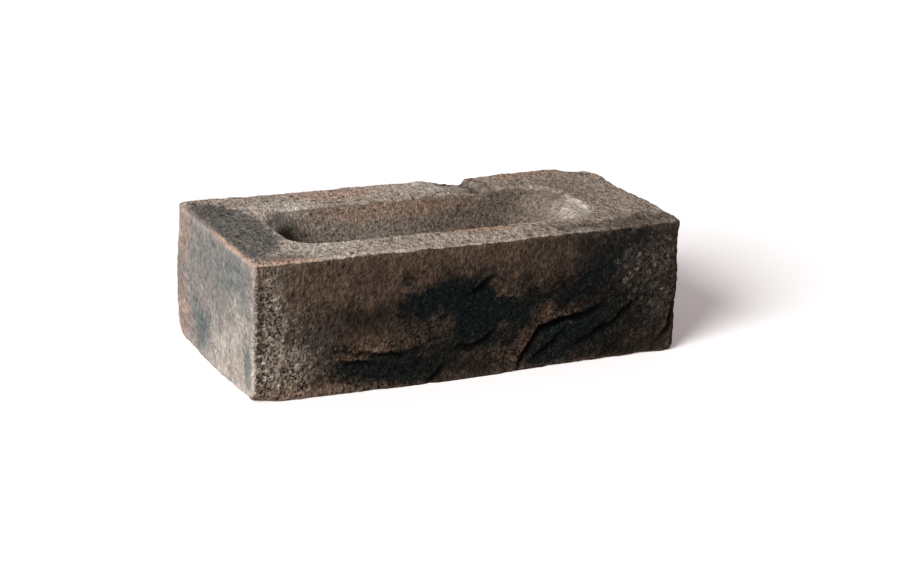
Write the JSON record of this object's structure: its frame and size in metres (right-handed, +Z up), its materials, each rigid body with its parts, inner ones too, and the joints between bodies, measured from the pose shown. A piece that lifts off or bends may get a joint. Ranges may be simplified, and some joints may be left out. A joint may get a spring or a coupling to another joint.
{
  "type": "facing brick",
  "caption": "Moulded clay facing brick with a frog in its upper bed, a creased face, rounded arrises and a nicked rim, laid in mortar on its lower bed.",
  "frame": {"origin": "middle of the lower bed, on the surface the brick lies on", "axes": "+X along the length, -Y out of the creased face, +Z up, out of the frog"},
  "size_m": [0.215, 0.1024, 0.065],
  "materials": {
    "fired_clay": "rough, sanded, unglazed fired clay with dark and pale firing marks"
  },
  "bodies": {
    "root": {"facing_brick": "fired_clay"}
  },
  "joints": []
}
